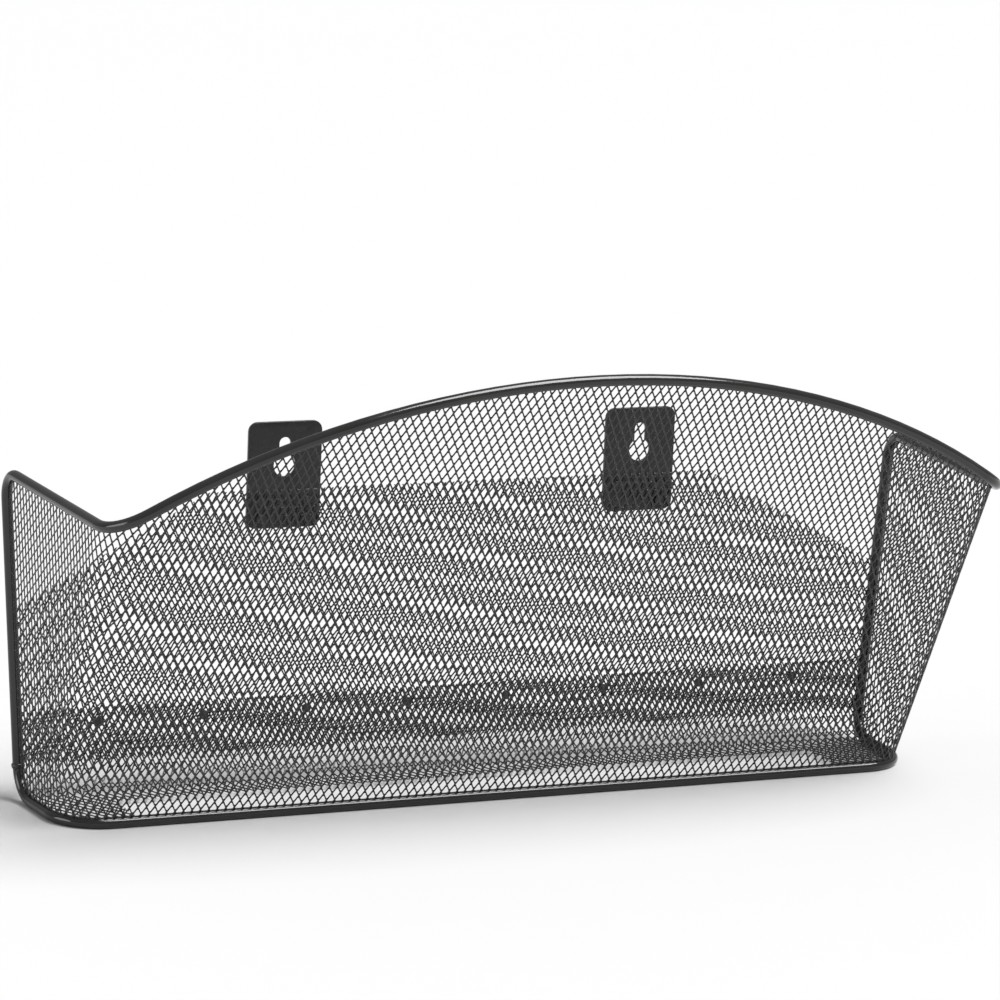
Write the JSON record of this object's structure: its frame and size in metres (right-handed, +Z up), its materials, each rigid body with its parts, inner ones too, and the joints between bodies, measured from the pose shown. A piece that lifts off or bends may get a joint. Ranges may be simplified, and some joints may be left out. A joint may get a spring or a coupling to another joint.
{
  "type": "wall file pocket",
  "caption": "Wall-hung mesh file pocket: bent steel wire frame with a wave-shaped front rim, expanded-metal mesh sides and floor, and keyhole hanger plates.",
  "frame": {"origin": "on the wall plane, midway between the entry holes of the two hanger keyholes", "axes": "+X across the rack to the viewer's right, +Y into the wall, +Z up"},
  "size_m": [0.402, 0.1409, 0.1907],
  "materials": {
    "black powder coat, wire": "semi-gloss powder coat on steel wire",
    "black powder coat, mesh": "satin powder coat on expanded steel mesh",
    "black powder coat, plate": "semi-gloss powder coat on sheet steel"
  },
  "bodies": {
    "root": {"rim_and_upright_wire": "black powder coat, wire", "bottom_wire": "black powder coat, wire", "wire_joint_welds": "black powder coat, wire", "front_and_end_mesh": "black powder coat, mesh", "back_mesh": "black powder coat, mesh", "floor_mesh": "black powder coat, mesh", "left_hanger_plate": "black powder coat, plate", "right_hanger_plate": "black powder coat, plate", "hanger_plate_spot_welds": "black powder coat, plate", "floor_flange_spot_welds": "black powder coat, mesh"}
  },
  "joints": []
}
